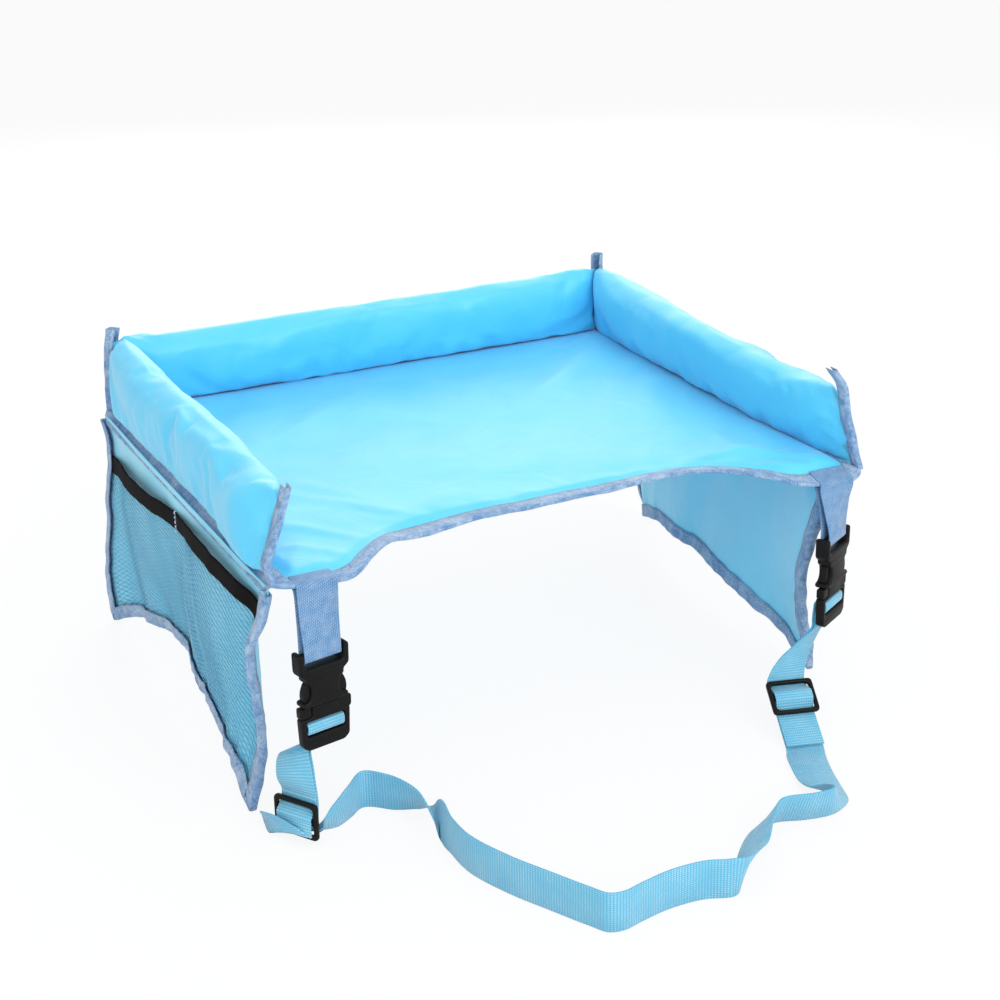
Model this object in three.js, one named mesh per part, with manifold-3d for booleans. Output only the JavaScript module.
// A stroller snack tray: a padded cloth tray that stands on two cloth side flaps with net pockets,
// and buckles round a child's seat with a webbing strap.
// Millimetres, +Z up, the rear edge of the tray towards +Y and its belly edge towards -Y.
import * as THREE from 'three';
import { mergeVertices } from 'three/addons/utils/BufferGeometryUtils.js';
import Module from 'manifold-3d';

const wasm = await Module();
wasm.setup();

// General clearances
const sewnGap = 0.3; // between layers that are sewn or lie on each other
const looseGap = 0.7; // between layers that only meet at a bound edge
const overrun = 1; // how far a cutter passes the face that it opens
const samePlace = 1e-4; // within which two corners are one
const halfTurn = Math.PI;

// Tray floor
const trayWidth = 400;
const trayHalf = trayWidth / 2;
const frontY = -178; // belly edge at the two front corners
const rearY = 171;
const floorZ = 162; // middle of the floor's layers
const cornerRadius = 12;
const bellyShoulder = 40; // straight edge between the belly's curve and each corner
const bellyHalfWidth = trayHalf - bellyShoulder;
const bellyDepth = 42;
const bellyPower = 3;
const boardThickness = 2.4;
const clothThickness = 0.8;
const boardInset = 17.5;
const seamPast = 1.5; // how far the covers lie together past the binding
const slopeWidth = 4.5; // over which the covers rise to the board

// Edge binding
const bindingReach = 10; // how far its two legs lie over the cloth
const bindingThickness = 0.8;
const bindingNose = 1.25; // how far its fold stands out past the cloth's edge
const bindingPast = 4; // how far a binding runs straight on past a corner

// Padded walls
const wallHeight = 53;
const wallThickness = 26;
const wallInset = 8.5;
const leftCornerLean = 4; // how far a corner's top leans in
const rightCornerLean = 9;
const sideWallFrontLean = 12; // how far a side wall's front end leans in
const pinchLength = 25; // over which a wall narrows to its seam
const seamThickness = 2.5; // of a sleeve's flat sewn end
const sleeveCloth = 0.8;
const foamClearance = 0.7;
const wallFrontInset = 7;

// Standing tapes at the walls' ends
const tapeDepth = 7;
const tapeThickness = 0.8;
const tapeRise = 4; // above the wall's top
const tailPast = 4; // how far a wall's end runs straight past its tape

// Side flaps
const flapOutset = 0.5; // of the flap's seam outside the tray's edge
const flapTopX = trayHalf + flapOutset;
const flapClothThickness = 0.8;
const flapBottomRise = 1; // of the cloth's corners above the surface that the tray stands on
const flapFrontTopInset = 10;
const flapFrontSetBack = 45; // of the front bottom corner behind the belly corners
const flapRearTopInset = 3;
const flapRearSplay = 1;
const archHeight = 32;
const archPower = 2.6;
const flapBow = 15; // how far the middle of the lower edge hangs in
const bowPower = 1.5;
const flapSplay = 4; // how far the bottom corners stand out
const flapCurl = 18; // how far the front edge curls out
const curlShare = 0.22; // of the flap's length
const curlPower = 1.2;
const foldDepth = 1.6;
const foldCount = 3;
const flapBindingReach = 9;
const flapNose = 1.5;
const innerNose = 0.6;
const flapBindingSlack = 1.1; // between its outer leg and the net
const flapBindingTop = 12; // where the flap's binding starts, below the seam

// Net pockets
const netThickness = 0.9;
const pocketBulge = 10;
const mouthRearDrop = 31; // of the pocket's mouth below the seam
const mouthFrontDrop = 11;
const elasticWidth = 12;
const elasticThickness = 1.2;
const netHold = 2; // how far the net reaches under the flap's binding
const netColumns = 12;
const netRows = 5;
const netStrand = 3;
const netHem = 1; // above the net, below its elastic

// Webbing
const webbingWidth = 25;
const webbingThickness = 1.2;
const tabThickness = 1;
const tabOverlap = 11; // sewn length over the floor's edge

// Side release buckles
const buckleInset = 24; // from the tray's side
const buckleX = trayHalf - buckleInset;
const buckleDrop = 73.5; // of the socket's mouth below the floor
const buckleForward = 0.7;
const leftBuckleDegrees = 12;
const rightBuckleDegrees = 31;
const socketHeight = 34;
const socketThickness = 9.6;
const socketMouthHalf = 15.4;
const socketWaistHalf = 12.9;
const socketEarHalf = 17;
const earHeight = 13.5;
const earFoot = socketHeight - earHeight;
const waistSlope = 2.5; // height over which the ears come in to the waist
const waistZ = earFoot - waistSlope;
const socketRimHeight = 2.4;
const plasticRound = 1.2; // by which an outline's corners are cut off
const plasticPlay = 0.4; // between pieces that slide in each other
const cavityHalf = 12.4;
const cavityThickness = 6;
const cavityWall = 2.8; // below the waist
const cavityTop = waistZ - cavityWall;
const biteTop = cavityTop + plasticPlay;
const biteInnerHalf = 9.4;
const biteRound = 2.6;
const tabBarDepth = 1; // below the socket's top
const tabBarHeight = 4;
const tabSlotHeight = 4.7;
const tabBarTop = socketHeight - tabBarDepth;
const tabBarBottom = tabBarTop - tabBarHeight;
const tabSlotBottom = tabBarBottom - tabSlotHeight;
const tabBarThickness = 4;
const slotPlay = 0.6; // beside the webbing in each slot
const webbingSlotHalf = webbingWidth / 2 + slotPlay;
const plugLength = 28.3; // below the socket's mouth
const plugThickness = 6;
const plugHalf = 16.9;
const plugTaper = 0.6;
const plugFootHalf = 12.6;
const plugFootChamfer = 3.6;
const plugShoulderZ = -7.5;
const plugNeckHalf = 6.5;
const tongueHalf = 3.4;
const tongueTop = cavityTop - plasticPlay;
const tongueThickness = 5.2;
const slotOneTop = -9.8;
const midBarTop = -13;
const midBarBottom = -16.4;
const slotTwoBottom = -19.6;
const midBarThickness = 2.8;
const armOuter = 17;
const armInner = 9.3;
const armNeckOuter = 12;
const armBumpOuter = 14.3;
const bumpShare = 0.53; // of the arm's height inside the socket
const armShoulder = 0.5; // below the socket's mouth

// Sliders on the strap
const sliderLength = 31;
const sliderHeight = 24;
const sliderThickness = 3.5;
const sliderBar = 2.7;
const sliderMidBar = 3;
const sliderCorner = 2.4;
const leftSliderInset = 4; // from the tray's side
const leftSliderX = leftSliderInset - trayHalf;
const leftSliderY = -178;
const leftSliderZ = 16;
const leftSliderAcrossShares = [0.53, -0.85, 0];
const rightSliderInset = 65;
const rightSliderX = trayHalf - rightSliderInset;
const rightSliderY = -200;
const rightSliderZ = 24;
const rightSliderUpShares = [0.2, 0.8, 0.56];
const rightSliderAcrossShares = [0.93, -0.33, -0.1];

// The strap's places beside the pieces that it passes
const strapPlay = 0.4; // between the strap and what it passes
const layerGap = 0.5; // between its two layers
const strapSlack = 0.8; // by which a bend in it stands off
const tailLengthPastSlider = 34;
const drawnHalf = 200; // the tray's half width and belly corners that the strap's places were drawn for
const drawnFrontY = -178;

const fabricBlue = 0x8fdcf6;
const bindingBlue = 0x7ba3db;
const webbingBlue = 0x6fc9e8;
const plasticBlack = 0x1c1c1c;
const foamWhite = 0xf2f2ee;
const boardGrey = 0xd8dadc;

const fabric = new THREE.MeshStandardMaterial({ color: fabricBlue, roughness: 0.6, metalness: 0 });
const binding = new THREE.MeshStandardMaterial({ color: bindingBlue, roughness: 0.75, metalness: 0 });
const webbing = new THREE.MeshStandardMaterial({ color: webbingBlue, roughness: 0.8, metalness: 0 });
const plastic = new THREE.MeshStandardMaterial({ color: plasticBlack, roughness: 0.45, metalness: 0 });
const elastic = new THREE.MeshStandardMaterial({ color: plasticBlack, roughness: 0.9, metalness: 0 });
const foam = new THREE.MeshStandardMaterial({ color: foamWhite, roughness: 0.95, metalness: 0 });
const board = new THREE.MeshStandardMaterial({ color: boardGrey, roughness: 0.7, metalness: 0 });

const tray = new THREE.Group();

// Puts a named piece into the tray or into a group of it.
function add(name, geometry, material, group = tray) {
  const mesh = new THREE.Mesh(geometry, material);
  mesh.name = name;
  group.add(mesh);
  return mesh;
}

// Closed shapes from points and faces, turned so that their faces point out.
function closedGeometry(points, faces) {
  let volume = 0;
  for (const [a, b, c] of faces) {
    volume += points[a].dot(new THREE.Vector3().crossVectors(points[b], points[c]));
  }
  const index = volume < 0 ? faces.flatMap(([a, b, c]) => [a, c, b]) : faces.flat();
  const geometry = new THREE.BufferGeometry().setFromPoints(points);
  geometry.setIndex(index);
  geometry.computeVertexNormals();
  return geometry;
}

// Triangles of a flat ring of points, each turned as the ring is.
function ringFaces(ring, first, turned) {
  const normal = new THREE.Vector3();
  ring.forEach((point, i) => {
    normal.add(new THREE.Vector3().crossVectors(point, ring[(i + 1) % ring.length]));
  });
  normal.normalize();
  const side = Math.abs(normal.z) < 0.9 ? new THREE.Vector3(0, 0, 1) : new THREE.Vector3(1, 0, 0);
  const across = new THREE.Vector3().crossVectors(side, normal).normalize();
  const along = new THREE.Vector3().crossVectors(normal, across);
  const flat = ring.map((point) => new THREE.Vector2(point.dot(across), point.dot(along)));
  return THREE.ShapeUtils.triangulateShape(flat, []).map(([a, b, c]) => {
    const area = THREE.ShapeUtils.area([flat[a], flat[b], flat[c]]);
    const face = area > 0 ? [a, b, c] : [a, c, b];
    return (turned ? face.reverse() : face).map((k) => k + first);
  });
}

// A solid through rings of points. A looped one joins its last ring to its first.
function loft(rings, looped = false) {
  const count = rings[0].length;
  const faces = [];
  const spans = looped ? rings.length : rings.length - 1;
  for (let i = 0; i < spans; i += 1) {
    const a = i * count;
    const b = ((i + 1) % rings.length) * count;
    for (let j = 0; j < count; j += 1) {
      const k = (j + 1) % count;
      faces.push([a + j, a + k, b + k], [a + j, b + k, b + j]);
    }
  }
  if (!looped) {
    faces.push(...ringFaces(rings[0], 0, true));
    faces.push(...ringFaces(rings.at(-1), (rings.length - 1) * count, false));
  }
  return closedGeometry(rings.flat(), faces);
}

// A shape drawn in x and z, with its thickness centred on y = 0.
function plate(outline, thickness, holes = []) {
  const shape = new THREE.Shape(outline.map(([x, z]) => new THREE.Vector2(x, z)));
  for (const hole of holes) {
    shape.holes.push(new THREE.Path(hole.map(([x, z]) => new THREE.Vector2(x, z))));
  }
  const geometry = new THREE.ExtrudeGeometry(shape, { depth: thickness, bevelEnabled: false });
  geometry.rotateX(halfTurn / 2);
  geometry.translate(0, thickness / 2, 0);
  return geometry;
}

function box(lowX, highX, lowY, highY, lowZ, highZ) {
  const geometry = new THREE.BoxGeometry(highX - lowX, highY - lowY, highZ - lowZ);
  geometry.translate((lowX + highX) / 2, (lowY + highY) / 2, (lowZ + highZ) / 2);
  return geometry;
}

function solidOf(geometry) {
  const bare = geometry.clone();
  bare.deleteAttribute('normal');
  bare.deleteAttribute('uv');
  const merged = mergeVertices(bare, samePlace);
  return new wasm.Manifold(new wasm.Mesh({
    numProp: 3,
    vertProperties: new Float32Array(merged.attributes.position.array),
    triVerts: new Uint32Array(merged.index.array),
  }));
}

function geometryOf(solid) {
  const mesh = solid.getMesh();
  const geometry = new THREE.BufferGeometry();
  geometry.setAttribute('position', new THREE.BufferAttribute(new Float32Array(mesh.vertProperties), 3));
  geometry.setIndex(new THREE.BufferAttribute(new Uint32Array(mesh.triVerts), 1));
  return geometry;
}

function cut(geometry, cutters) {
  return geometryOf(cutters.reduce((solid, cutter) => solid.subtract(solidOf(cutter)), solidOf(geometry)));
}

// The right half of an outline, drawn upwards, with its mirror image.
function mirrored(half) {
  return [...half, ...half.map(([x, z]) => [-x, z]).reverse()];
}

const lerp = THREE.MathUtils.lerp;
// The belly edge's place at a distance from the middle.
function bellyY(x) {
  const share = Math.min(1, Math.abs(x) / bellyHalfWidth);
  return frontY + (bellyDepth * (1 + Math.cos(halfTurn * share ** bellyPower))) / 2;
}

// The tray's outline drawn in by an inset, always with the same number of points.
const frontSteps = 30;
const arcSteps = 4;
function cornerArc(centreX, centreY, radius, startTurn) {
  return Array.from({ length: arcSteps + 1 }, (_, i) => {
    const angle = startTurn + ((i / arcSteps) * halfTurn) / 2;
    return new THREE.Vector2(centreX + radius * Math.cos(angle), centreY + radius * Math.sin(angle));
  });
}
function frontPoints(inset) {
  const reach = trayHalf - Math.max(cornerRadius, inset + sewnGap);
  return Array.from({ length: frontSteps + 1 }, (_, i) => {
    const x = lerp(-reach, reach, i / frontSteps);
    const rise = bellyY(x + sewnGap) - bellyY(x - sewnGap);
    const inward = new THREE.Vector2(-rise, 2 * sewnGap).normalize();
    return new THREE.Vector2(x, bellyY(x)).addScaledVector(inward, inset);
  });
}
function cornerArcs(inset) {
  const radius = Math.max(cornerRadius - inset, sewnGap);
  const shift = Math.max(cornerRadius, inset + sewnGap);
  const x = trayHalf - shift;
  return {
    frontRight: cornerArc(x, frontY + shift, radius, -halfTurn / 2),
    rearRight: cornerArc(x, rearY - shift, radius, 0),
    rearLeft: cornerArc(-x, rearY - shift, radius, halfTurn / 2),
    frontLeft: cornerArc(-x, frontY + shift, radius, halfTurn),
  };
}
function trayOutline(inset) {
  const arcs = cornerArcs(inset);
  const front = frontPoints(inset).slice(1, -1);
  return [...front, ...arcs.frontRight, ...arcs.rearRight, ...arcs.rearLeft, ...arcs.frontLeft];
}
const raise = (outline, z) => outline.map((point) => new THREE.Vector3(point.x, point.y, z));

// Floor covers, which lie flat on the board and come together in the edge seam
const boardHalf = boardThickness / 2;
const seamInner = sewnGap / 2;
const seamOuter = seamInner + clothThickness;
const boardInner = boardHalf + sewnGap;
const boardOuter = boardInner + clothThickness;
const seamWidth = bindingReach + seamPast;
const slopeEnd = seamWidth + slopeWidth;
function floorCover(side) {
  const levels = [
    [slopeEnd, boardInner],
    [seamWidth, seamInner],
    [0, seamInner],
    [0, seamOuter],
    [seamWidth, seamOuter],
    [slopeEnd, boardOuter],
  ];
  return loft(levels.map(([inset, height]) => raise(trayOutline(inset), floorZ + side * height)));
}
add('floor_top_cover', floorCover(1), fabric);
add('floor_bottom_cover', floorCover(-1), fabric);
add('stiffener_board', loft([
  raise(trayOutline(boardInset), floorZ - boardHalf),
  raise(trayOutline(boardInset), floorZ + boardHalf),
]), board);

// Edge bindings: a folded tape with a leg over and a leg under the covers
const bindingInner = seamOuter + sewnGap;
const bindingOuter = bindingInner + bindingThickness;
const shoulderShare = 0.75;
const innerNoseShare = 0.36;
const bindingProfile = [
  [bindingReach, bindingOuter],
  [0, bindingOuter],
  [-bindingNose * shoulderShare, bindingOuter * shoulderShare],
  [-bindingNose, 0],
  [-bindingNose * shoulderShare, -bindingOuter * shoulderShare],
  [0, -bindingOuter],
  [bindingReach, -bindingOuter],
  [bindingReach, -bindingInner],
  [0, -bindingInner],
  [-bindingNose * innerNoseShare, 0],
  [0, bindingInner],
  [bindingReach, bindingInner],
];
function edgeBinding(edge) {
  const rings = edge.map((point, i) => {
    const before = edge[Math.max(0, i - 1)];
    const after = edge[Math.min(edge.length - 1, i + 1)];
    const along = after.clone().sub(before).normalize();
    const inward = new THREE.Vector2(-along.y, along.x);
    return bindingProfile.map(([reach, height]) => new THREE.Vector3(
      point.x + inward.x * reach,
      point.y + inward.y * reach,
      floorZ + height,
    ));
  });
  return loft(rings);
}
const edgeArcs = cornerArcs(0);
const bindingFront = frontY + cornerRadius + bindingPast;
const bindingRear = rearY - cornerRadius - bindingPast;
add('front_edge_binding', edgeBinding([
  new THREE.Vector2(-trayHalf, bindingFront),
  ...edgeArcs.frontLeft.slice(0, -1),
  ...frontPoints(0),
  ...edgeArcs.frontRight.slice(1),
  new THREE.Vector2(trayHalf, bindingFront),
]), binding);
add('rear_edge_binding', edgeBinding([
  new THREE.Vector2(trayHalf, bindingRear),
  ...edgeArcs.rearRight,
  ...edgeArcs.rearLeft,
  new THREE.Vector2(-trayHalf, bindingRear),
]), binding);
const sideStart = bindingFront + sewnGap;
const sideEnd = bindingRear - sewnGap;
add('right_edge_binding', edgeBinding([
  new THREE.Vector2(trayHalf, sideStart),
  new THREE.Vector2(trayHalf, sideEnd),
]), binding);
add('left_edge_binding', edgeBinding([
  new THREE.Vector2(-trayHalf, sideEnd),
  new THREE.Vector2(-trayHalf, sideStart),
]), binding);

// Padded walls: a sewn sleeve, pinched flat at both ends, with a foam core
const wallBaseZ = floorZ + bindingOuter + sewnGap;
const wallHalf = wallThickness / 2;
const seamHalf = seamThickness / 2;
const wallSideShares = [[0.38, 0], [0.66, 0.1], [0.9, 0.34], [1, 0.6], [0.93, 0.8], [0.64, 0.95]];
const wallRingShares = [
  ...wallSideShares,
  [0, 1],
  ...wallSideShares.map(([q, h]) => [-q, h]).reverse(),
];
const flatEnd = tapeDepth + sewnGap;
const pinchShares = [0, 0.16, 0.34, 0.56, 0.8, 1];
const middleShares = [0.33, 0.67];
const foamStation = 3; // the first station, from each end, that the foam reaches
// One ring across a wall, drawn in by a margin from the sleeve's outside and kept off its mitres.
function wallRing(station, margin, mitres) {
  const width = station.half - margin;
  const height = wallHeight - 2 * margin;
  return wallRingShares.map(([q, h]) => {
    const place = station.at.clone()
      .addScaledVector(station.inward, q * width)
      .addScaledVector(station.lean, h);
    for (const mitre of mitres) {
      const off = place.clone().sub(mitre.at).dot(mitre.own);
      place.addScaledVector(mitre.own, Math.max(0, sewnGap / 2 + margin - off));
    }
    place.z = wallBaseZ + margin + h * height;
    return place;
  });
}
function wallParts(route, startLean, endLean, mitres) {
  const path = new THREE.CatmullRomCurve3(route, false, 'centripetal');
  const length = path.getLength();
  const ramp = [0, ...pinchShares.map((share) => flatEnd + share * pinchLength)];
  const full = length - 2 * ramp.at(-1);
  const distances = [
    ...ramp,
    ...middleShares.map((share) => ramp.at(-1) + share * full),
    ...ramp.map((distance) => length - distance).reverse(),
  ];
  const stations = distances.map((distance) => {
    const share = distance / length;
    const along = path.getTangentAt(share);
    const fromEnd = Math.min(distance, length - distance);
    const near = THREE.MathUtils.clamp((fromEnd - flatEnd) / pinchLength, 0, 1);
    return {
      at: path.getPointAt(share),
      inward: new THREE.Vector3(-along.y, along.x, 0).normalize(),
      lean: startLean.clone().lerp(endLean, share),
      half: lerp(seamHalf, wallHalf, Math.sin((near * halfTurn) / 2)),
    };
  });
  const rings = (list, margin) => list.map((station) => wallRing(station, margin, mitres));
  const cover = loft([...rings(stations, 0), ...rings(stations, sleeveCloth).reverse()], true);
  const core = stations.slice(foamStation, -foamStation);
  return { cover, foam: loft(rings(core, sleeveCloth + foamClearance)) };
}

// Two sleeve ends lie side by side in each rear corner's standing tape.
const diagonal = Math.SQRT1_2;
const tailOffset = seamHalf + sewnGap;
const tailLength = flatEnd + tailPast;
const seamCorner = cornerRadius * (1 - diagonal);
function cornerSeam(sideX, lean) {
  const tip = new THREE.Vector3(sideX * (trayHalf - seamCorner), rearY - seamCorner, 0);
  const inward = new THREE.Vector3(-sideX * diagonal, -diagonal, 0);
  const toRear = new THREE.Vector3(-sideX * diagonal, diagonal, 0);
  const tail = (side) => [0, tailLength].map((distance) => tip.clone()
    .addScaledVector(inward, distance)
    .addScaledVector(toRear, side * tailOffset));
  return {
    tip,
    lean: inward.clone().multiplyScalar(lean),
    rearTail: tail(1),
    sideTail: tail(-1),
    rearMitre: { at: tip, own: toRear },
    sideMitre: { at: tip, own: toRear.clone().negate() },
  };
}
const leftCorner = cornerSeam(-1, leftCornerLean);
const rightCorner = cornerSeam(1, rightCornerLean);
const bend = tailLength + wallInset + wallThickness / 4;
const rearLine = rearY - wallInset;
const rearWall = wallParts([
  ...rightCorner.rearTail,
  new THREE.Vector3(trayHalf - bend, rearLine, 0),
  new THREE.Vector3(trayHalf / 2, rearLine, 0),
  new THREE.Vector3(-trayHalf / 2, rearLine, 0),
  new THREE.Vector3(-trayHalf + bend, rearLine, 0),
  ...leftCorner.rearTail.reverse(),
], rightCorner.lean, leftCorner.lean, [rightCorner.rearMitre, leftCorner.rearMitre]);
add('rear_wall_cover', rearWall.cover, fabric);
add('rear_wall_foam', rearWall.foam, foam);

const frontLean = (sideX) => new THREE.Vector3(-sideX * sideWallFrontLean, 0, 0);
const wallFrontEnd = frontY + wallFrontInset;
function sideWall(sideX, corner) {
  const x = sideX * (trayHalf - wallInset);
  const route = [
    new THREE.Vector3(x, wallFrontEnd, 0),
    new THREE.Vector3(x, wallFrontEnd + tailLength, 0),
    new THREE.Vector3(x, 0, 0),
    new THREE.Vector3(x, rearY - bend, 0),
    ...[...corner.sideTail].reverse(),
  ];
  const leans = [frontLean(sideX), corner.lean];
  if (sideX < 0) {
    route.reverse();
    leans.reverse();
  }
  return wallParts(route, ...leans, [corner.sideMitre]);
}
for (const [name, sideX, corner] of [['left', -1, leftCorner], ['right', 1, rightCorner]]) {
  const wall = sideWall(sideX, corner);
  add(`${name}_wall_cover`, wall.cover, fabric);
  add(`${name}_wall_foam`, wall.foam, foam);
}

// Standing tapes: a folded tape whose mouth faces the wall's seam that it holds
const tapeRows = 6;
function standingTape(tip, out, holdHalf, lean) {
  const inner = holdHalf + sewnGap;
  const outer = inner + tapeThickness;
  const nose = sewnGap + tapeThickness;
  const across = new THREE.Vector3(-out.y, out.x, 0);
  const half = [
    [-tapeDepth, inner],
    [-tapeDepth, outer],
    [0, outer],
    [nose, inner / 2],
  ];
  const innerHalf = [[sewnGap, inner / 2], [0, inner]];
  const profile = [
    ...half,
    ...half.map(([a, b]) => [a, -b]).reverse(),
    ...innerHalf.map(([a, b]) => [a, -b]).reverse(),
    ...innerHalf,
  ];
  const rise = (wallHeight + tapeRise) / wallHeight;
  const rings = Array.from({ length: tapeRows }, (_, i) => {
    const share = (i / (tapeRows - 1)) * rise;
    return profile.map(([a, b]) => tip.clone()
      .addScaledVector(out, a)
      .addScaledVector(across, b)
      .addScaledVector(lean, share)
      .setZ(wallBaseZ + share * wallHeight));
  });
  return loft(rings);
}
for (const [name, corner] of [['left', leftCorner], ['right', rightCorner]]) {
  const out = corner.lean.clone().normalize().negate();
  add(`rear_${name}_corner_tape`, standingTape(corner.tip, out, tailOffset + seamHalf, corner.lean), binding);
}
for (const [name, sideX] of [['left', -1], ['right', 1]]) {
  const tip = new THREE.Vector3(sideX * (trayHalf - wallInset), wallFrontEnd, 0);
  const out = new THREE.Vector3(0, -1, 0);
  add(`front_${name}_end_tape`, standingTape(tip, out, seamHalf, frontLean(sideX)), binding);
}

// Side flaps: cloth sewn under the tray's side edge, on which the tray stands
const seamZ = floorZ - bindingOuter - sewnGap - flapClothThickness / 2;
const cornerDrop = seamZ - flapBottomRise;
const flapFrontTop = frontY + flapFrontTopInset;
const flapFrontBottom = frontY + flapFrontSetBack;
const flapRearTop = rearY - flapRearTopInset;
const flapRearBottom = rearY + flapRearSplay;
// The depth of the flap's lower edge below the seam, from the front, 0, to the rear, 1.
function lowerEdge(u) {
  return cornerDrop - archHeight * (1 - Math.abs(2 * u - 1) ** archPower);
}
// How far the cloth hangs out from the plane of the seam.
function drape(u, v) {
  const bow = -flapBow * 4 * u * (1 - u) * v ** bowPower;
  const splay = flapSplay * (2 * u - 1) ** 2 * v;
  const nearFront = Math.max(0, 1 - u / curlShare);
  const curl = flapCurl * nearFront ** 2 * Math.max(0, Math.sin(halfTurn * v)) ** curlPower;
  const fold = foldDepth * v * v * Math.sin(2 * halfTurn * foldCount * u);
  return bow + splay + curl + fold;
}
// A place on the flap: u from front to rear, v from seam to lower edge, and out from the cloth's inside.
function flapPoint(side, u, v, out) {
  const drop = v * lowerEdge(u);
  const share = drop / cornerDrop;
  const y = lerp(lerp(flapFrontTop, flapFrontBottom, share), lerp(flapRearTop, flapRearBottom, share), u);
  const x = flapTopX - flapClothThickness / 2 + drape(u, v) + out;
  return new THREE.Vector3(side * x, y, Math.max(0, seamZ - drop));
}
const flapColumns = 22;
const flapRows = 9;
function gridSheet(columns, rows, front, back) {
  const outline = [];
  for (let i = 0; i < columns; i += 1) outline.push([i / columns, 0]);
  for (let j = 0; j < rows; j += 1) outline.push([1, j / rows]);
  for (let i = columns; i > 0; i -= 1) outline.push([i / columns, 1]);
  for (let j = rows; j > 0; j -= 1) outline.push([0, j / rows]);
  const points = [];
  const faces = [];
  const count = (columns + 1) * (rows + 1);
  const at = (i, j) => j * (columns + 1) + i;
  for (const surface of [front, back]) {
    for (let j = 0; j <= rows; j += 1) {
      for (let i = 0; i <= columns; i += 1) points.push(surface(i / columns, j / rows));
    }
  }
  for (let j = 0; j < rows; j += 1) {
    for (let i = 0; i < columns; i += 1) {
      const [a, b, c, d] = [at(i, j), at(i + 1, j), at(i + 1, j + 1), at(i, j + 1)];
      faces.push([a, b, c], [a, c, d], [a + count, c + count, b + count], [a + count, d + count, c + count]);
    }
  }
  const loop = outline.map(([u, v]) => at(Math.round(u * columns), Math.round(v * rows)));
  loop.forEach((a, k) => {
    const b = loop[(k + 1) % loop.length];
    faces.push([b, a, a + count], [b, a + count, b + count]);
  });
  return closedGeometry(points, faces);
}

const netEdge = flapBindingReach - netHold;
// The pocket's mouth: its depth below the seam at a place along the flap, as a share of the flap there.
function mouthShare(u) {
  return lerp(mouthFrontDrop, mouthRearDrop, u) / lowerEdge(u);
}
// How far the pocket stands off the flap, with a stitched divider in its middle.
const divider = 0.5;
const flapRim = flapBindingReach + netHem + 2 * looseGap;
const rimShare = flapRim / (flapRearTop - flapFrontTop);
function pocketStandOff(u, v) {
  const nearEdge = Math.min(u, 1 - u);
  const cell = THREE.MathUtils.clamp((nearEdge - rimShare) / (divider - rimShare), 0, 1);
  const mouth = mouthShare(u);
  const floor = 1 - flapRim / lowerEdge(u);
  const depth = THREE.MathUtils.clamp((v - mouth) / (floor - mouth), 0, 1);
  return pocketBulge * Math.sin(halfTurn * cell) * Math.cos((halfTurn * depth) / 2) ** 2;
}
const netSeamOut = flapClothThickness + looseGap;
const netLeft = netEdge / (flapRearTop - flapFrontTop);
function netAt(side, u, v, out) {
  return flapPoint(side, u, v, netSeamOut + pocketStandOff(u, v) + out);
}
// The net's own square: s across and t down. Its hem lies between 0 and -1 and between 1 and 2.
function netPlace(s, t) {
  const within = (share) => THREE.MathUtils.clamp(share, 0, 1);
  const past = (share) => THREE.MathUtils.clamp(share, -1, 0) + within(share - 1);
  const u = lerp(rimShare, 1 - rimShare, within(s)) + (rimShare - netLeft) * past(s);
  const drop = lowerEdge(u);
  const top = mouthShare(u) * drop + elasticWidth + netHem + sewnGap;
  const hem = t < 0 ? netHem : flapRim - netEdge;
  return { u, drop: lerp(top, drop - flapRim, within(t)) + hem * past(t) };
}
function netPoint(side, p, out) {
  const { u, drop } = netPlace(p.x, p.y);
  return netAt(side, u, drop / lowerEdge(u), out);
}
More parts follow.
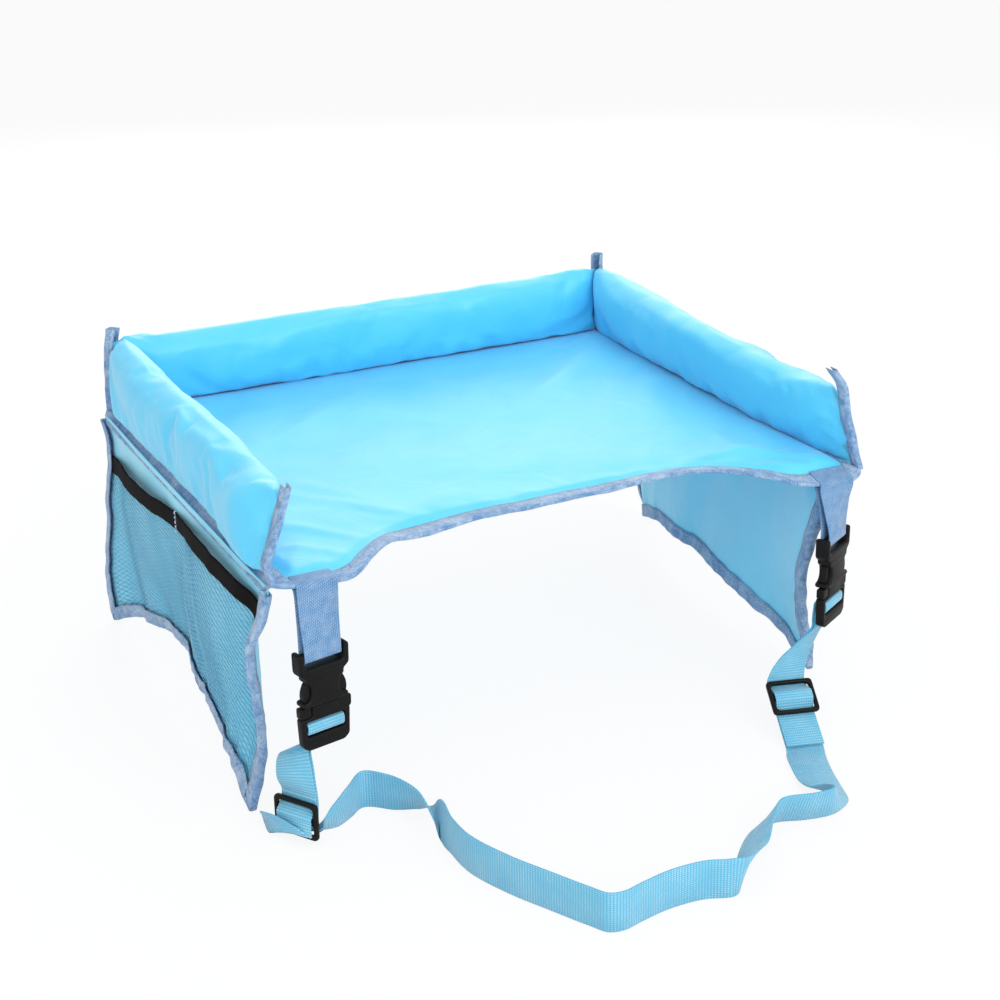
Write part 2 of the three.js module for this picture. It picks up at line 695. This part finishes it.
// The net is a lattice of gaps at its even places, knots at its odd places and strands in between.
function pocketNet(side) {
  const across = 2 * netColumns;
  const down = 2 * netRows;
  const halfS = 1 / across - netStrand / (flapRearTop - flapFrontTop);
  const halfT = 1 / down - netStrand / (cornerDrop - archHeight - elasticWidth);
  const places = [];
  const known = new Map();
  const ways = [[-1, 0], [0, -1], [1, 0], [0, 1]];
  const isInside = (i, j) => i > 0 && i < across && j > 0 && j < down;
  const corner = (i, j, toS, toT) => {
    const gap = isInside(i, j);
    const key = gap ? [i, j, toS, toT].join() : [i, j].join();
    if (!known.has(key)) {
      known.set(key, places.length);
      places.push(new THREE.Vector2(i / across + gap * toS * halfS, j / down + gap * toT * halfT));
    }
    return known.get(key);
  };
  const fans = [];
  const walls = [];
  for (let j = 0; j <= down; j += 1) {
    for (let i = 0; i <= across; i += 1) {
      const isGap = (i + j) % 2 === 0;
      if (isGap && isInside(i, j)) {
        const gap = [corner(i, j, -1, 0), corner(i, j, 0, 1), corner(i, j, 1, 0), corner(i, j, 0, -1)];
        gap.forEach((a, k) => walls.push([a, gap[(k + 1) % gap.length]]));
      }
      if (!isGap) {
        const missing = ways.findIndex(([x, y]) => (
          i + x < 0 || j + y < 0 || i + x > across || j + y > down
        ));
        const ring = ways.map(([x, y], k) => (
          k === missing ? corner(i, j, 0, 0) : corner(i + x, j + y, -x, -y)
        ));
        const first = Math.max(missing, 0);
        fans.push([...ring.slice(first), ...ring.slice(0, first)]);
      }
      if (i < across && j < down) {
        const [i2, j2] = [i + 1, j + 1];
        fans.push(isGap
          ? [corner(i, j, 1, 0), corner(i2, j2, 0, -1), corner(i2, j2, -1, 0), corner(i, j, 0, 1)]
          : [corner(i2, j, 0, 1), corner(i, j2, 1, 0), corner(i, j2, 0, -1), corner(i2, j, -1, 0)]);
      }
    }
  }
  const rim = [];
  for (let i = 0; i < across; i += 1) rim.push([i, 0]);
  for (let j = 0; j < down; j += 1) rim.push([across, j]);
  for (let i = across; i > 0; i -= 1) rim.push([i, down]);
  for (let j = down; j > 0; j -= 1) rim.push([0, j]);
  const edge = rim.map(([i, j]) => corner(i, j, 0, 0));
  const pastEdge = (share) => share + (share >= 1) - (share <= 0);
  const hem = edge.map((k) => {
    const { x, y } = places[k];
    return places.push(new THREE.Vector2(pastEdge(x), pastEdge(y))) - 1;
  });
  edge.forEach((a, k) => {
    const next = (k + 1) % edge.length;
    fans.push([hem[k], hem[next], edge[next], a]);
    walls.push([hem[k], hem[next]]);
  });
  const count = places.length;
  const faces = [];
  for (const ring of fans) {
    const fan = ring.filter((a, k) => a !== ring[(k + 1) % ring.length]);
    for (let k = 1; k + 1 < fan.length; k += 1) {
      const [a, b, c] = [fan[0], fan[k], fan[k + 1]];
      faces.push([a, b, c], [a + count, c + count, b + count]);
    }
  }
  for (const [a, b] of walls) faces.push([b, a, a + count], [b, a + count, b + count]);
  return closedGeometry([
    ...places.map((p) => netPoint(side, p, netThickness)),
    ...places.map((p) => netPoint(side, p, 0)),
  ], faces);
}
const bandSteps = 22;
const bandStations = [
  netLeft,
  ...Array.from({ length: bandSteps + 1 }, (_, i) => lerp(rimShare, 1 - rimShare, i / bandSteps)),
  1 - netLeft,
];
function pocketElastic(side) {
  const columns = bandStations.length - 1;
  const place = (s, t, out) => {
    const u = bandStations[Math.round(s * columns)];
    const v = mouthShare(u) + (t * elasticWidth) / lowerEdge(u);
    return netAt(side, u, v, out);
  };
  return gridSheet(
    columns,
    1,
    (s, t) => place(s, t, elasticThickness),
    (s, t) => place(s, t, 0),
  );
}
// The flap's binding follows its rear, lower and front edges.
const flapBindingInner = -looseGap;
const flapBindingOuterIn = netSeamOut + netThickness + flapBindingSlack;
const flapBindingProfile = [
  [flapBindingReach, flapBindingOuterIn + bindingThickness],
  [0, flapBindingOuterIn + bindingThickness],
  [-flapNose, flapBindingOuterIn * shoulderShare],
  [-flapNose, flapBindingInner],
  [0, flapBindingInner - bindingThickness],
  [flapBindingReach, flapBindingInner - bindingThickness],
  [flapBindingReach, flapBindingInner],
  [0, flapBindingInner],
  [-innerNose, 0],
  [-innerNose, flapBindingOuterIn * shoulderShare],
  [0, flapBindingOuterIn],
  [flapBindingReach, flapBindingOuterIn],
];
const sideStations = 6;
const lowerStations = 24;
function flapBinding(side) {
  const route = [];
  const startV = (u) => flapBindingTop / lowerEdge(u);
  for (let i = 0; i < sideStations; i += 1) {
    route.push({ u: 1, v: lerp(startV(1), 1, i / sideStations), du: -1, dv: 0 });
  }
  route.push({ u: 1, v: 1, du: -1, dv: -1 });
  for (let i = 1; i < lowerStations; i += 1) {
    route.push({ u: 1 - i / lowerStations, v: 1, du: 0, dv: -1 });
  }
  route.push({ u: 0, v: 1, du: 1, dv: -1 });
  for (let i = sideStations - 1; i >= 0; i -= 1) {
    route.push({ u: 0, v: lerp(startV(0), 1, i / sideStations), du: 1, dv: 0 });
  }
  const length = flapRearTop - flapFrontTop;
  const rings = route.map(({ u, v, du, dv }) => flapBindingProfile.map(([reach, out]) => {
    const drop = lowerEdge(THREE.MathUtils.clamp(u, 0, 1));
    return flapPoint(side, u + (du * reach) / length, v + (dv * reach) / drop, out);
  }));
  return loft(rings);
}
for (const [name, side] of [['left', -1], ['right', 1]]) {
  add(`${name}_flap_panel`, gridSheet(
    flapColumns,
    flapRows,
    (u, v) => flapPoint(side, u, v, flapClothThickness),
    (u, v) => flapPoint(side, u, v, 0),
  ), fabric);
  add(`${name}_pocket_net`, pocketNet(side), fabric);
  add(`${name}_pocket_elastic`, pocketElastic(side), elastic);
  add(`${name}_flap_binding`, flapBinding(side), binding);
}

// Flat webbing along a route of places, each with the direction of its width
function ribbon(route, width, thickness, steps) {
  const spine = new THREE.CatmullRomCurve3(route.map((r) => r.at), false, 'centripetal');
  const turn = new THREE.CatmullRomCurve3(route.map((r) => r.across), false, 'centripetal');
  const count = (route.length - 1) * steps;
  const rings = Array.from({ length: count + 1 }, (_, i) => {
    const share = i / count;
    const at = spine.getPoint(share);
    const along = spine.getTangent(share);
    const across = turn.getPoint(share).normalize();
    const normal = new THREE.Vector3().crossVectors(along, across).normalize();
    return [[1, 1], [-1, 1], [-1, -1], [1, -1]].map(([a, n]) => at.clone()
      .addScaledVector(across, (a * width) / 2)
      .addScaledVector(normal, (n * thickness) / 2));
  });
  return loft(rings);
}

// Buckle halves, drawn with the socket's mouth at z = 0 and the buckle's front towards -y
const socketOutline = mirrored([
  [socketMouthHalf, 0],
  [socketMouthHalf, biteTop],
  [socketWaistHalf, waistZ],
  [socketEarHalf, earFoot + plasticRound],
  [socketEarHalf, socketHeight - plasticRound],
  [socketEarHalf - plasticRound, socketHeight],
  [webbingSlotHalf + slotPlay, socketHeight],
  [webbingSlotHalf, tabBarTop],
]);
const socketHalfThickness = socketThickness / 2;
const barHalfThickness = tabBarThickness / 2;
function bite(sideX) {
  const outer = sideX * (socketEarHalf + overrun);
  const inner = sideX * biteInnerHalf;
  const corner = sideX * (biteInnerHalf + biteRound);
  const outline = [
    [outer, socketRimHeight],
    [corner, socketRimHeight],
    [inner, socketRimHeight + biteRound],
    [inner, biteTop - biteRound],
    [corner, biteTop],
    [outer, biteTop],
  ];
  return plate(outline, socketThickness + 2 * overrun);
}
function buckleSocket() {
  const slot = webbingSlotHalf;
  const face = socketHalfThickness + overrun;
  return cut(plate(socketOutline, socketThickness), [
    box(-cavityHalf, cavityHalf, -cavityThickness / 2, cavityThickness / 2, -overrun, cavityTop),
    bite(1),
    bite(-1),
    box(-slot, slot, -face, face, tabSlotBottom, tabBarBottom),
    box(-slot, slot, -face, -barHalfThickness, tabSlotBottom, socketHeight + overrun),
    box(-slot, slot, barHalfThickness, face, tabSlotBottom, socketHeight + overrun),
  ]);
}
function bucklePlug() {
  const frame = plate(mirrored([
    [plugFootHalf, -plugLength],
    [plugHalf - plugTaper, -plugLength + plugFootChamfer],
    [plugHalf, plugShoulderZ],
    [plugNeckHalf + plasticRound, plugShoulderZ],
    [plugNeckHalf, plugShoulderZ + plasticRound],
    [plugNeckHalf, -armShoulder],
  ]), plugThickness);
  const tongue = plate(mirrored([
    [tongueHalf, -armShoulder - overrun],
    [tongueHalf, tongueTop - plasticRound],
    [tongueHalf - plasticRound, tongueTop],
  ]), tongueThickness);
  const slot = webbingSlotHalf;
  const face = plugThickness / 2 + overrun;
  const bar = midBarThickness / 2;
  return cut(geometryOf(solidOf(frame).add(solidOf(tongue))), [
    box(-slot, slot, -face, face, midBarTop, slotOneTop),
    box(-slot, slot, -face, face, slotTwoBottom, midBarBottom),
    box(-slot, slot, -face, -bar, midBarBottom - overrun, midBarTop + overrun),
    box(-slot, slot, bar, face, midBarBottom - overrun, midBarTop + overrun),
  ]);
}
// A spring arm: an outer grip, a neck through the socket's mouth and a bump that catches behind its rim.
const armFootZ = plugShoulderZ + sewnGap;
const bumpFoot = socketRimHeight + plasticPlay;
const armTop = cavityTop - plasticPlay;
const bumpTop = lerp(bumpFoot, armTop, bumpShare);
function springArm(sideX) {
  const outline = [
    [armNeckOuter, armFootZ + plasticRound],
    [armNeckOuter + plasticRound, armFootZ],
    [armOuter - plasticRound, armFootZ],
    [armOuter, armFootZ + plasticRound],
    [armOuter, -armShoulder - plasticRound],
    [armOuter - plasticRound, -armShoulder],
    [armNeckOuter, -armShoulder],
    [armNeckOuter, bumpFoot],
    [armBumpOuter, bumpFoot],
    [armBumpOuter, bumpTop],
    [armNeckOuter, armTop - plasticRound],
    [armNeckOuter - plasticRound, armTop],
    [armInner + plasticRound, armTop],
    [armInner, armTop - plasticRound],
    [armInner, -armShoulder],
  ];
  return plate(outline.map(([x, z]) => [sideX * x, z]), tongueThickness);
}

// One buckle hangs from each end of the belly edge, turned by its yaw.
const buckleZ = floorZ - buckleDrop;
function buckleFrame(sideX, yaw) {
  const frame = new THREE.Group();
  frame.position.set(sideX * buckleX, frontY - buckleForward, buckleZ);
  frame.rotation.z = yaw;
  frame.updateMatrix();
  tray.add(frame);
  return frame;
}
const placed = (frame, y, z) => new THREE.Vector3(0, y, z).applyMatrix4(frame.matrix);
const acrossOf = (frame) => new THREE.Vector3(1, 0, 0).applyEuler(frame.rotation);

const tabHalf = tabThickness / 2;
function buckleTab(frame) {
  const x = frame.position.x;
  const level = bindingOuter + sewnGap + tabHalf;
  const noseY = frontY - bindingNose - sewnGap - tabHalf;
  const plain = new THREE.Vector3(1, 0, 0);
  const turned = acrossOf(frame);
  const half = plain.clone().add(turned).normalize();
  const barOut = barHalfThickness + sewnGap + tabHalf;
  const barUnder = tabBarBottom - sewnGap - tabHalf;
  const at = (y, z, across) => ({ at: new THREE.Vector3(x, y, z), across });
  const on = (y, z) => ({ at: placed(frame, y, z), across: turned });
  const backY = frontY + barOut;
  return ribbon([
    at(frontY + tabOverlap, floorZ + level, plain),
    at(frontY + tabOverlap / 2, floorZ + level, plain),
    at(frontY, floorZ + level, plain),
    at(noseY, floorZ + level / 2, plain),
    at(noseY, floorZ - level, plain),
    at((noseY + frontY - barOut) / 2, floorZ - buckleDrop / 4, half),
    on(-barOut, socketHeight + 2 * overrun),
    on(-barOut, tabBarTop - tabHalf),
    on(-barOut, tabBarBottom),
    on(-barHalfThickness, barUnder),
    on(0, barUnder),
    on(barHalfThickness, barUnder),
    on(barOut, tabBarBottom),
    on(barOut, tabBarTop - tabHalf),
    on(barOut, socketHeight + 2 * overrun),
    at(backY, floorZ - buckleDrop / 4, half),
    at(backY + tabHalf, floorZ - level - 2 * tabThickness, plain),
    at(frontY + tabOverlap / 2 + tabThickness, floorZ - level, plain),
    at(frontY + tabOverlap, floorZ - level, plain),
  ], webbingWidth, tabThickness, 2);
}
const buckles = {};
for (const [name, side, turn] of [['left', -1, leftBuckleDegrees], ['right', 1, rightBuckleDegrees]]) {
  const frame = buckleFrame(side, THREE.MathUtils.degToRad(turn));
  buckles[name] = frame;
  add(`${name}_buckle_tab`, buckleTab(frame), binding);
  add(`${name}_buckle_socket`, buckleSocket(), plastic, frame);
  add(`${name}_buckle_plug`, bucklePlug(), plastic, frame);
  add(`${name}_plug_arm_left`, springArm(-1), plastic, frame);
  add(`${name}_plug_arm_right`, springArm(1), plastic, frame);
}

// Sliders: a flat frame with a middle bar. t runs up the strap and n out of its back.
function sliderPlate() {
  const half = sliderLength / 2;
  const high = sliderHeight / 2;
  const slot = webbingSlotHalf;
  const outline = mirrored([
    [half - sliderCorner, -high],
    [half, -high + sliderCorner],
    [half, high - sliderCorner],
    [half - sliderCorner, high],
  ]);
  const near = sliderMidBar / 2;
  const far = high - sliderBar;
  const upper = [[-slot, near], [slot, near], [slot, far], [-slot, far]];
  const lower = upper.map(([x, z]) => [x, -z]);
  return plate(outline, sliderThickness, [upper, lower]);
}
function sliderFrame(centre, up, across) {
  const t = up.clone().normalize();
  const w = across.clone().addScaledVector(t, -across.dot(t)).normalize();
  const n = new THREE.Vector3().crossVectors(t, w);
  const frame = new THREE.Group();
  frame.matrixAutoUpdate = false;
  frame.matrix.makeBasis(w, n, t).setPosition(centre);
  tray.add(frame);
  return { frame, t, w, n, centre };
}
const on = (slider, t, n) => ({
  at: slider.centre.clone().addScaledVector(slider.t, t).addScaledVector(slider.n, n),
  across: slider.w,
});
const leftSlider = sliderFrame(
  new THREE.Vector3(leftSliderX, leftSliderY, leftSliderZ),
  new THREE.Vector3(0, 0, 1),
  new THREE.Vector3(...leftSliderAcrossShares),
);
const rightSlider = sliderFrame(
  new THREE.Vector3(rightSliderX, rightSliderY, rightSliderZ),
  new THREE.Vector3(...rightSliderUpShares),
  new THREE.Vector3(...rightSliderAcrossShares),
);
add('left_slider', sliderPlate(), plastic, leftSlider.frame);
add('right_slider', sliderPlate(), plastic, rightSlider.frame);

// The strap's two doubled ends, each from its tail through the slider, round the plug's bar and back
const webHalf = webbingThickness / 2;
const layerOne = sliderThickness / 2 + strapPlay + webHalf;
const layerTwo = layerOne + webbingThickness + layerGap;
const barIn = sliderMidBar / 2 + strapSlack;
const slotMiddle = (sliderMidBar / 2 + sliderHeight / 2 - sliderBar) / 2;
const barEdge = sliderHeight / 2 - sliderBar - sewnGap;
const sliderEnd = sliderHeight / 2 + 2 * strapSlack;
function throughSlider(slider) {
  return [
    on(slider, slotMiddle, 0),
    on(slider, barEdge, layerOne),
    on(slider, sliderEnd, layerOne + strapSlack),
  ];
}
function overMidBar(slider) {
  return [
    on(slider, -barIn, -layerOne),
    on(slider, 0, -layerOne),
    on(slider, barIn, -layerOne),
  ];
}
// Up behind the plug, through its lower slot, over its middle bar and back through its upper slot
function roundPlug(frame) {
  const across = acrossOf(frame);
  const at = (y, z) => ({ at: placed(frame, y, z), across });
  const back = plugThickness / 2 + strapPlay + webHalf;
  const farBack = back + webbingThickness + layerGap;
  const front = midBarThickness / 2 + strapPlay + webHalf;
  const under = (midBarBottom + slotTwoBottom) / 2;
  const above = (midBarTop + slotOneTop) / 2;
  const foot = -plugLength - 2 * strapSlack;
  const endBar = (slotTwoBottom - plugLength) / 2;
  return [
    at(back + strapSlack, foot),
    at(back + slotPlay, endBar),
    at(back, slotTwoBottom + strapSlack),
    at(back / 2, under),
    at(0, under),
    at(-front + slotPlay, under + strapPlay),
    at(-front, midBarBottom),
    at(-front, midBarTop),
    at(-front + slotPlay, above - strapPlay),
    at(0, above),
    at(back / 2, above),
    at(farBack - strapSlack, above - strapSlack),
    at(farBack, midBarBottom),
    at(farBack + slotPlay, endBar),
    at(farBack + strapSlack, foot),
  ];
}
// A place of the strap: between the sliders it spreads with the tray, and beside one it keeps to it.
const spread = (x) => (x * trayHalf) / drawnHalf;
const beside = (x) => x + Math.sign(x) * (trayHalf - drawnHalf);
const strapPlace = ([x, y, z], [a, b, c], widen = spread) => ({
  at: new THREE.Vector3(widen(x), y + frontY - drawnFrontY, z),
  across: new THREE.Vector3(a, b, c),
});
const strapEnd = -sliderHeight / 2 - strapPlay;
const leftStrapEnd = strapEnd + sliderHeight / 6;
const strapSteps = 2;
add('strap_left_loop', ribbon([
  strapPlace([-209, -151, 8.6], [-0.2, -0.75, 0.6], beside),
  strapPlace([-208, -163, 8.5], [0.1, -0.75, 0.6], beside),
  strapPlace([-203.5, -175, 6.8], [0.4, -0.8, 0.42], beside),
  on(leftSlider, -barEdge, -layerOne - strapPlay),
  on(leftSlider, -slotMiddle, -layerOne - strapPlay),
  ...overMidBar(leftSlider).slice(1),
  ...throughSlider(leftSlider),
  strapPlace([-186.5, -174.5, 40], [0.8, -0.55, 0], beside),
  ...roundPlug(buckles.left),
  strapPlace([-186.5, -172.3, 41], [0.8, -0.55, 0], beside),
  on(leftSlider, sliderEnd, layerTwo + strapSlack),
  on(leftSlider, 0, layerTwo),
  on(leftSlider, leftStrapEnd, layerTwo),
], webbingWidth, webbingThickness, strapSteps), webbing);

add('strap_right_loop', ribbon([
  on(rightSlider, -tailLengthPastSlider, layerOne - strapSlack),
  on(rightSlider, -sliderHeight, layerOne - strapPlay),
  on(rightSlider, -sliderEnd, layerOne),
  on(rightSlider, -barEdge, layerOne),
  on(rightSlider, -slotMiddle, 0),
  ...overMidBar(rightSlider),
  ...throughSlider(rightSlider),
  strapPlace([146, -181.2, 39.4], [0.95, 0.1, -0.1], beside),
  strapPlace([160.5, -176.6, 50], [0.92, 0.35, 0], beside),
  ...roundPlug(buckles.right),
  strapPlace([161.5, -175, 48.4], [0.92, 0.35, 0], beside),
  strapPlace([147.2, -180, 37.8], [0.95, 0.1, -0.1], beside),
  on(rightSlider, sliderEnd, layerTwo + strapSlack),
  on(rightSlider, 0, layerTwo),
  on(rightSlider, strapEnd, layerTwo),
], webbingWidth, webbingThickness, strapSteps), webbing);

// The strap's single layer, which lies on the floor between the two sliders
add('waist_strap', ribbon([
  on(leftSlider, leftStrapEnd - strapPlay, layerTwo),
  strapPlace([-189, -177, 4.6], [0.5, -0.82, 0.22], beside),
  strapPlace([-183, -181, 8.4], [0.3, -0.7, 0.6], beside),
  strapPlace([-173, -180, 11], [0.1, -0.5, 0.83], beside),
  strapPlace([-160, -171, 12.6], [0.08, -0.28, 0.95], beside),
  strapPlace([-147, -161, 12.7], [0, 0, 1]),
  strapPlace([-134, -172, 12.7], [-0.05, -0.05, 1]),
  strapPlace([-122, -187, 12], [-0.25, -0.5, 0.83]),
  strapPlace([-118, -198, 9.4], [-0.4, -0.84, 0.3]),
  strapPlace([-119, -214, 11], [-0.3, -0.6, -0.72]),
  strapPlace([-122, -235, 12.7], [0, 0, -1]),
  strapPlace([-121, -257, 12.7], [0, 0, -1]),
  strapPlace([-111, -286, 12.7], [0, 0, -1]),
  strapPlace([-98, -312, 12.7], [0, 0, -1]),
  strapPlace([-86, -335, 12.7], [0, 0, -1]),
  strapPlace([-79.5, -345.5, 12.7], [0, 0, -1]),
  strapPlace([-71, -347.5, 12.7], [0, 0, -1]),
  strapPlace([-58, -344.5, 12.7], [0, 0, -1]),
  strapPlace([-38, -341, 12.7], [0, 0, -1]),
  strapPlace([-17, -342, 12.7], [0, 0, -1]),
  strapPlace([-3.5, -347, 12.7], [0, 0, -1]),
  strapPlace([4, -347.5, 12.7], [-0.1, 0.14, -0.98]),
  strapPlace([12, -340, 12.2], [-0.25, 0.36, -0.9]),
  strapPlace([28, -322, 10.4], [-0.42, 0.62, -0.65]),
  strapPlace([46, -304, 11.4], [-0.25, 0.6, -0.76]),
  strapPlace([60, -298, 12.5], [0, 0.42, -0.91]),
  strapPlace([80, -303, 12.5], [0, 0.38, -0.92]),
  strapPlace([95, -304, 12.5], [0.15, 0.3, -0.94]),
  strapPlace([103, -297, 11], [0.6, 0.1, -0.79]),
  strapPlace([106, -283, 5.6], [0.9, -0.3, -0.32], beside),
  strapPlace([111, -265, 2.6], [0.93, -0.35, -0.09], beside),
  strapPlace([118, -246, 1.7], [0.93, -0.35, -0.06], beside),
  strapPlace([123.5, -234, 0.9], [0.93, -0.35, -0.02], beside),
  on(rightSlider, -tailLengthPastSlider, layerTwo),
  on(rightSlider, -sliderHeight, layerTwo),
  on(rightSlider, strapEnd - strapPlay, layerTwo),
], webbingWidth, webbingThickness, strapSteps), webbing);

// The origin lies under the middle of the tray, on the surface that it stands on.
const freeStrap = ['waist_strap', 'strap_left_loop', 'strap_right_loop', 'left_slider', 'right_slider'];
tray.updateMatrixWorld(true);
const reach = new THREE.Box3();
tray.traverse((piece) => {
  if (piece.isMesh && !freeStrap.includes(piece.name)) reach.expandByObject(piece, true);
});
const middle = reach.getCenter(new THREE.Vector3());
tray.position.set(-middle.x, -middle.y, 0);

export default tray;
